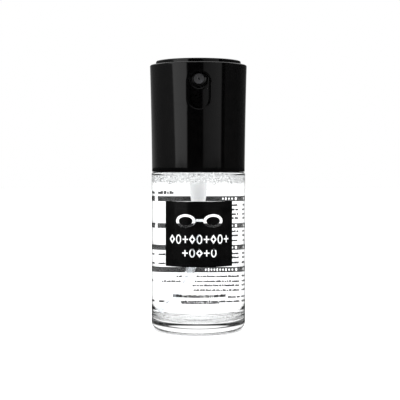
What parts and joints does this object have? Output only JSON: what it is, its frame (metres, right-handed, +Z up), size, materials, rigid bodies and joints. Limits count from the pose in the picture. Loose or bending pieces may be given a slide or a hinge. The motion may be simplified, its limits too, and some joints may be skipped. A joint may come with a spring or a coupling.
{
  "type": "lens cleaning spray",
  "caption": "Small clear cylindrical spray bottle of lens fluid with a finger pump, dip tube and tall glossy black sleeve with a nozzle window.",
  "frame": {"origin": "centre of the bottle's underside, on the plane it stands on", "axes": "+Z up along the bottle; the nozzle faces -Y; +X to the right seen from the front"},
  "size_m": [0.0332, 0.0332, 0.0915],
  "materials": {
    "clear_plastic": "polished",
    "clear_fluid": "polished",
    "black_ink": "satin",
    "printed_film": "satin",
    "glossy_black": "gloss",
    "dark_grey_plastic": "satin",
    "frosted_plastic": "satin",
    "white_plastic": "satin",
    "grey_rubber": "matte",
    "stainless_steel": "satin"
  },
  "bodies": {
    "bottle": {"bottle": "clear_plastic", "cleaning_fluid": "clear_fluid", "front_label": "black_ink", "back_label": "printed_film"},
    "pump": {"neck_gasket": "grey_rubber", "pump_housing": "frosted_plastic", "stem_retainer": "white_plastic", "dip_tube": "frosted_plastic", "return_spring": "stainless_steel"},
    "screw_cap": {"screw_closure": "white_plastic", "outer_sleeve": "glossy_black"},
    "spray_head": {"head": "glossy_black", "nozzle_insert": "dark_grey_plastic"},
    "stem": {"pump_stem": "white_plastic", "plunger": "white_plastic"},
    "piston": {"piston": "white_plastic"},
    "check_ball": {"check_ball": "stainless_steel"}
  },
  "joints": [
    {"name": "head_rise", "type": "slide", "parent": "bottle", "child": "pump", "axis": [0, 0, 1], "range_m": [0, 0.00476], "deforming": ["cleaning_fluid"]},
    {"name": "closure_turn", "type": "hinge", "parent": "pump", "child": "screw_cap", "pos_m": [0, 0, 0.0625], "axis": [0, 0, 1], "range_deg": [0, 540]},
    {"name": "actuator_press", "type": "slide", "parent": "screw_cap", "child": "spray_head", "axis": [0, 0, -1], "range_m": [0, 0.005], "stiffness_N_per_m": 900, "springref_m": -0.003},
    {"name": "stem_press", "type": "slide", "parent": "pump", "child": "stem", "axis": [0, 0, -1], "range_m": [0, 0.005], "deforming": ["return_spring"]},
    {"name": "piston_slip", "type": "slide", "parent": "stem", "child": "piston", "axis": [0, 0, 1], "range_m": [0, 0.0006]},
    {"name": "ball_lift", "type": "slide", "parent": "pump", "child": "check_ball", "axis": [0, 0, 1], "range_m": [0, 0.0007]}
  ],
  "couplings": [
    {"joint": "closure_turn", "follows": "head_rise", "rad_per_m": 1979},
    {"joint": "stem_press", "follows": "actuator_press", "ratio": 1}
  ]
}
